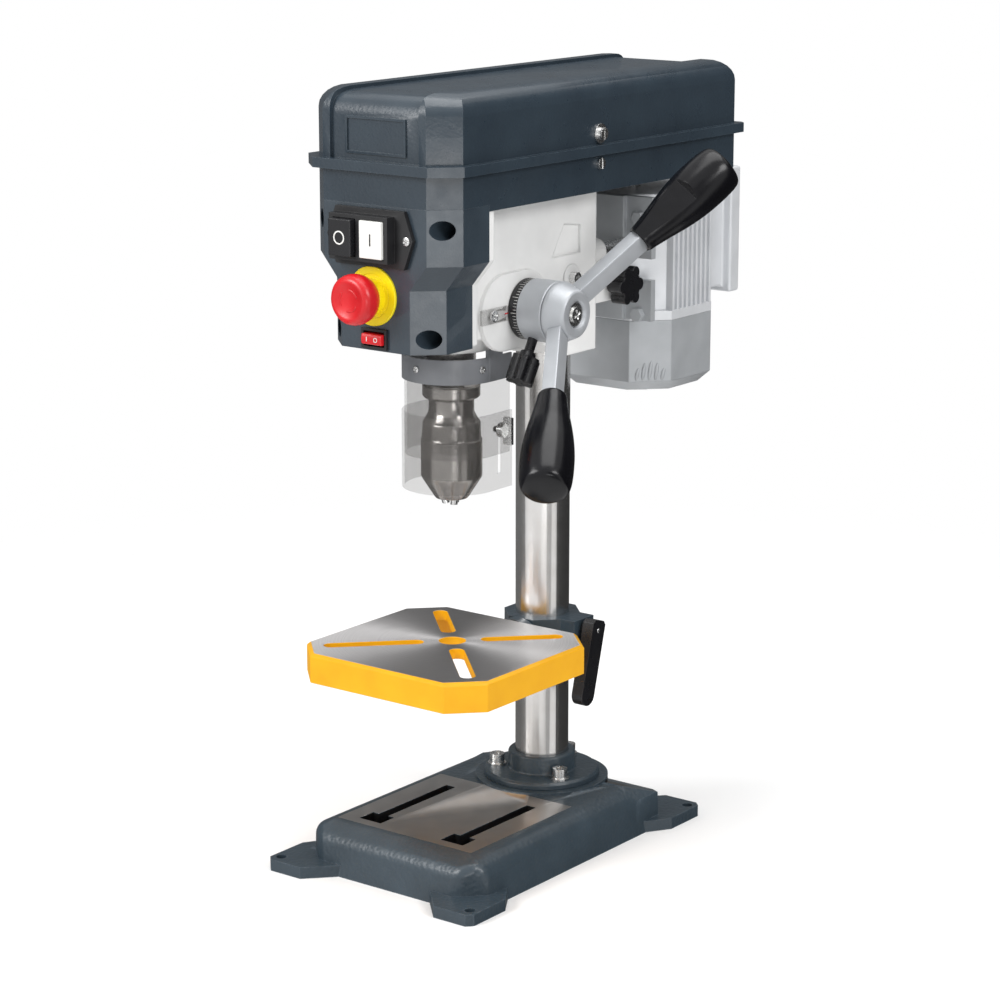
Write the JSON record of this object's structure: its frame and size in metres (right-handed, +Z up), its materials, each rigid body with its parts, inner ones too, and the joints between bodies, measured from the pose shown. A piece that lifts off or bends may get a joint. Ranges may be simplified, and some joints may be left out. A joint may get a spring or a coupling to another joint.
{
  "type": "benchtop drill press",
  "caption": "Bench drill press on a round column: stepped-belt head, rack-fed quill with splayed levers, keyless chuck, swing guard and slotted tilting table.",
  "frame": {"origin": "middle of the four bench-bolt holes, on the underside plane of the base", "axes": "+X to the operator's right (lever side), +Y from the operator to the back, +Z up"},
  "size_m": [0.2805, 0.479, 0.648],
  "materials": {
    "cast_paint": "semi-gloss dark blue-grey paint on castings",
    "housing_paint": "fine-grained dark blue-grey moulding",
    "shell_plastic": "fine-grained dark grey moulding",
    "head_paint": "white paint on a fine-grained casting",
    "table_paint": "yellow paint, ground grey top face",
    "steel": "ground and turned steel",
    "bright_steel": "bright zinc plate",
    "black_steel": "black oxide",
    "alloy": "turned and cast aluminium",
    "motor_paint": "grey paint on aluminium",
    "black_plastic": "black moulding",
    "red_plastic": "red gloss moulding",
    "yellow_plastic": "yellow disc",
    "white_plastic": "off-white moulding",
    "clear_plastic": "smoke-tinted clear sheet",
    "belt_rubber": "moulded rubber"
  },
  "bodies": {
    "frame": {"base_casting": "cast_paint", "column_flange": "cast_paint", "socket_bolts": "black_steel", "flange_washers": "bright_steel", "column": "steel", "head_casting": "head_paint", "front_cover": "shell_plastic", "cover_screws": "black_steel", "belt_housing": "housing_paint", "housing_pins": "bright_steel", "v_belt": "belt_rubber", "sleeve_bearings": "bright_steel", "feed_bush": "bright_steel", "pointer": "clear_plastic", "return_spring": "steel", "spring_cap": "black_plastic", "guard_hinge": "black_plastic", "switch_plate": "black_plastic", "control_blocks": "black_plastic", "estop_disc": "yellow_plastic"},
    "table_carrier": {"table_bracket": "cast_paint", "tilt_bolt": "bright_steel"},
    "table": {"table_top": "table_paint"},
    "table_clamp": {"clamp_lever": "black_plastic"},
    "quill": {"quill": "steel", "quill_bearings": "bright_steel"},
    "spindle": {"spindle": "steel", "chuck_body": "steel"},
    "chuck_sleeve": {"chuck_sleeve": "steel"},
    "jaw_a": {"chuck_jaw_a": "bright_steel"},
    "jaw_b": {"chuck_jaw_b": "bright_steel"},
    "jaw_c": {"chuck_jaw_c": "bright_steel"},
    "feed": {"feed_shaft": "steel", "feed_hub": "alloy", "hub_screw": "bright_steel", "lever_bars": "alloy", "lever_grips": "black_plastic"},
    "depth_stop": {"depth_scale": "black_plastic", "depth_ring": "alloy"},
    "depth_knob": {"depth_knob": "black_plastic"},
    "guard": {"guard_band": "black_steel", "guard_shield": "clear_plastic"},
    "guard_slider": {"guard_slider": "clear_plastic"},
    "wing_screw": {"wing_screw": "black_plastic"},
    "off_button": {"off_button": "black_plastic"},
    "on_button": {"on_button": "white_plastic"},
    "estop_button": {"estop_button": "red_plastic"},
    "rocker": {"rocker": "red_plastic"},
    "belt_cover": {"belt_cover": "housing_paint", "cover_latch": "bright_steel"},
    "motor": {"motor_body": "alloy", "motor_core": "steel", "motor_case": "motor_paint", "motor_bracket": "motor_paint", "slide_rods": "steel", "terminal_box": "black_plastic"},
    "rotor": {"rotor": "steel", "motor_pulley": "alloy"},
    "spindle_pulley": {"spindle_pulley": "alloy"},
    "tension_knob": {"tension_knob": "black_plastic"}
  },
  "joints": [
    {"name": "table_height", "type": "slide", "parent": "frame", "child": "table_carrier", "axis": [0, 0, 1], "range_m": [-0.05, 0.025]},
    {"name": "table_tilt", "type": "hinge", "parent": "table_carrier", "child": "table", "pos_m": [0, 0.022, 0.165], "axis": [0, 1, 0], "range_deg": [-45, 45]},
    {"name": "table_clamp_turn", "type": "hinge", "parent": "table_carrier", "child": "table_clamp", "pos_m": [0.05, 0.075, 0.18], "axis": [1, 0, 0], "range_deg": [-20, 100]},
    {"name": "quill_slide", "type": "slide", "parent": "frame", "child": "quill", "axis": [0, 0, -1], "range_m": [0, 0.05], "stiffness_N_per_m": 1000, "springref_m": -0.045},
    {"name": "feed_turn", "type": "hinge", "parent": "frame", "child": "feed", "pos_m": [0, -0.0215, 0.469], "axis": [1, 0, 0], "range_deg": [0, 286.5]},
    {"name": "depth_stop_turn", "type": "hinge", "parent": "feed", "child": "depth_stop", "pos_m": [0.07, -0.0215, 0.469], "axis": [1, 0, 0], "range_deg": [-150, 150]},
    {"name": "depth_knob_turn", "type": "hinge", "parent": "depth_stop", "child": "depth_knob", "pos_m": [0.07, -0.0215, 0.469], "axis": [0, -0.5075, -0.8616], "range_deg": [0, 270]},
    {"name": "motor_tension", "type": "slide", "parent": "frame", "child": "motor", "axis": [0, -1, 0], "range_m": [0, 0.01]},
    {"name": "motor_spin", "type": "hinge", "parent": "motor", "child": "rotor", "pos_m": [0, 0.203, 0.5], "axis": [0, 0, 1], "continuous": true},
    {"name": "pulley_spin", "type": "hinge", "parent": "frame", "child": "spindle_pulley", "pos_m": [0, -0.05, 0.59], "axis": [0, 0, 1], "continuous": true},
    {"name": "spindle_spin", "type": "hinge", "parent": "quill", "child": "spindle", "pos_m": [0, -0.05, 0.45], "axis": [0, 0, 1], "continuous": true},
    {"name": "chuck_turn", "type": "hinge", "parent": "spindle", "child": "chuck_sleeve", "pos_m": [0, -0.05, 0.34], "axis": [0, 0, 1], "range_deg": [0, 360]},
    {"name": "jaw_a_slide", "type": "slide", "parent": "spindle", "child": "jaw_a", "axis": [0, 0.2756, 0.9613], "range_m": [0, 0.008]},
    {"name": "jaw_b_slide", "type": "slide", "parent": "spindle", "child": "jaw_b", "axis": [-0.2387, -0.1378, 0.9613], "range_m": [0, 0.008]},
    {"name": "jaw_c_slide", "type": "slide", "parent": "spindle", "child": "jaw_c", "axis": [0.2387, -0.1378, 0.9613], "range_m": [0, 0.008]},
    {"name": "guard_swing", "type": "hinge", "parent": "frame", "child": "guard", "pos_m": [-0.046, -0.026, 0.422], "axis": [0, 0, -1], "range_deg": [0, 95]},
    {"name": "guard_slide", "type": "slide", "parent": "guard", "child": "guard_slider", "axis": [0, 0, 1], "range_m": [0, 0.026]},
    {"name": "wing_screw_turn", "type": "hinge", "parent": "guard", "child": "wing_screw", "pos_m": [0.045, -0.038, 0.371], "axis": [1, 0, 0], "range_deg": [-90, 90]},
    {"name": "off_press", "type": "slide", "parent": "frame", "child": "off_button", "axis": [0, 1, 0], "range_m": [0, 0.003], "stiffness_N_per_m": 600, "springref_m": -0.001},
    {"name": "on_press", "type": "slide", "parent": "frame", "child": "on_button", "axis": [0, 1, 0], "range_m": [0, 0.003], "stiffness_N_per_m": 600, "springref_m": -0.001},
    {"name": "estop_press", "type": "slide", "parent": "frame", "child": "estop_button", "axis": [0, 1, 0], "range_m": [0, 0.0035], "stiffness_N_per_m": 1500, "springref_m": -0.001},
    {"name": "rocker_tilt", "type": "hinge", "parent": "frame", "child": "rocker", "pos_m": [0, -0.142, 0.4565], "axis": [1, 0, 0], "range_deg": [-12, 12]},
    {"name": "cover_open", "type": "hinge", "parent": "frame", "child": "belt_cover", "pos_m": [-0.0815, 0.075, 0.583], "axis": [0, -1, 0], "range_deg": [0, 100]},
    {"name": "tension_knob_turn", "type": "hinge", "parent": "frame", "child": "tension_knob", "pos_m": [0.055, 0.111, 0.471], "axis": [1, 0, 0], "range_deg": [0, 360]}
  ],
  "couplings": [
    {"joint": "feed_turn", "follows": "quill_slide", "rad_per_m": 100},
    {"joint": "pulley_spin", "follows": "motor_spin", "ratio": 0.81579},
    {"joint": "spindle_spin", "follows": "motor_spin", "ratio": 0.81579},
    {"joint": "jaw_a_slide", "follows": "chuck_turn", "m_per_rad": 0.00127},
    {"joint": "jaw_b_slide", "follows": "chuck_turn", "m_per_rad": 0.00127},
    {"joint": "jaw_c_slide", "follows": "chuck_turn", "m_per_rad": 0.00127}
  ]
}
